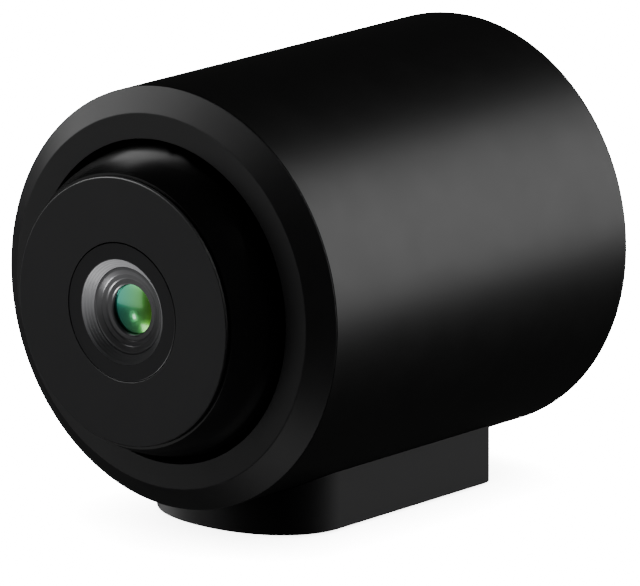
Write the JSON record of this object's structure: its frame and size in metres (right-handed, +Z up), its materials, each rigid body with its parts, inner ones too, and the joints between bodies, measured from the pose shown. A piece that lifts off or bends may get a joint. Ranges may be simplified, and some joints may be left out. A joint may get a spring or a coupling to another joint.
{
  "type": "dash camera",
  "caption": "Short cylindrical camera on a block foot, with a chamfered bezel, a ball-shaped lens head that tilts, and ports, buttons and a card slot in the rear cover.",
  "frame": {"origin": "middle of the adhesive pad's lower face, where the camera is stuck down", "axes": "+Y from the lens to the rear cover along the barrel, +Z up from the pad to the barrel, +X to the right seen from the front"},
  "size_m": [0.032, 0.0402, 0.0345],
  "materials": {
    "satin_black": "satin anodised, fine grained",
    "bezel_black": "satin anodised, turned",
    "shell_black": "satin to gloss",
    "plate_black": "fine matt",
    "base_black": "fine matt",
    "cover_black": "fine textured",
    "inner_black": "moulded",
    "rubber_black": "matt",
    "pad_foam": "closed-cell foam with adhesive",
    "screw_steel": "black oxide",
    "pin_steel": "ground, dark",
    "magnet_nickel": "nickel plated",
    "lens_black": "satin anodised",
    "lens_ring_grey": "satin turned",
    "coated_glass": "green anti-reflection coating",
    "filter_glass": "polished",
    "light_pipe_clear": "clear moulded",
    "spacer_brass": "turned",
    "holder_plastic": "moulded",
    "sensor_silicon": "polished",
    "board_green": "solder mask",
    "chip_black": "moulded",
    "shield_tin": "tinned",
    "thermal_grey": "matt",
    "sink_aluminium": "extruded",
    "flex_film": "polyimide film",
    "connector_beige": "moulded",
    "port_steel": "drawn",
    "tongue_black": "moulded",
    "card_black": "moulded",
    "led_white": "clear resin",
    "battery_wrap": "laminated foil",
    "tray_plastic": "moulded",
    "button_black": "moulded",
    "speaker_black": "pressed"
  },
  "bodies": {
    "housing": {"barrel_housing": "satin_black", "front_bezel": "bezel_black", "pivot_clamp_ring": "inner_black", "clamp_screw_1": "screw_steel", "clamp_screw_2": "screw_steel", "clamp_screw_3": "screw_steel", "head_friction_ring": "rubber_black", "inner_tray": "tray_plastic", "battery": "battery_wrap", "main_board": "board_green", "board_screw_1": "screw_steel", "board_screw_2": "screw_steel", "processor": "chip_black", "thermal_pad": "thermal_grey", "heat_sink": "sink_aluminium", "memory_chip": "chip_black", "wireless_module": "shield_tin", "flex_connector": "connector_beige", "sensor_flex": "flex_film", "card_socket": "port_steel", "usb_port_shell": "port_steel", "usb_port_tongue": "tongue_black", "button_board": "board_green", "power_switch": "chip_black", "reset_switch": "chip_black", "status_led": "led_white", "light_pipe": "light_pipe_clear", "microphone": "shield_tin", "speaker": "speaker_black", "rear_cover": "cover_black", "rear_seal": "rubber_black", "cover_screw_1": "screw_steel", "cover_screw_2": "screw_steel", "cover_screw_3": "screw_steel", "base_block": "base_black", "base_screw_1": "screw_steel", "base_screw_2": "screw_steel", "base_magnet": "magnet_nickel", "adhesive_pad": "pad_foam"},
    "lens_head": {"head_shell": "shell_black", "front_plate": "plate_black", "lens_barrel": "lens_black", "lens_retaining_ring": "lens_ring_grey", "front_lens": "coated_glass", "middle_lens": "coated_glass", "lens_spacer": "spacer_brass", "rear_lens": "coated_glass", "lens_holder": "holder_plastic", "holder_screw_1": "screw_steel", "holder_screw_2": "screw_steel", "ir_filter": "filter_glass", "image_sensor": "sensor_silicon", "sensor_board": "board_green", "pivot_pin_left": "pin_steel", "pivot_pin_right": "pin_steel"},
    "power_key": {"power_button": "button_black"},
    "reset_key": {"reset_button": "button_black"},
    "card": {"memory_card": "card_black"}
  },
  "joints": [
    {"name": "head_tilt", "type": "hinge", "parent": "housing", "child": "lens_head", "pos_m": [0, -0.01502, 0.0185], "axis": [1, 0, 0], "range_deg": [-15, 15]},
    {"name": "power_press", "type": "slide", "parent": "housing", "child": "power_key", "axis": [0, -1, 0], "range_m": [0, 0.0004], "stiffness_N_per_m": 20, "springref_m": -0.0004},
    {"name": "reset_press", "type": "slide", "parent": "housing", "child": "reset_key", "axis": [0, -1, 0], "range_m": [0, 0.0004], "stiffness_N_per_m": 20, "springref_m": -0.0004},
    {"name": "card_slide", "type": "slide", "parent": "housing", "child": "card", "axis": [0, 1, 0], "range_m": [-0.0005, 0.006]}
  ]
}
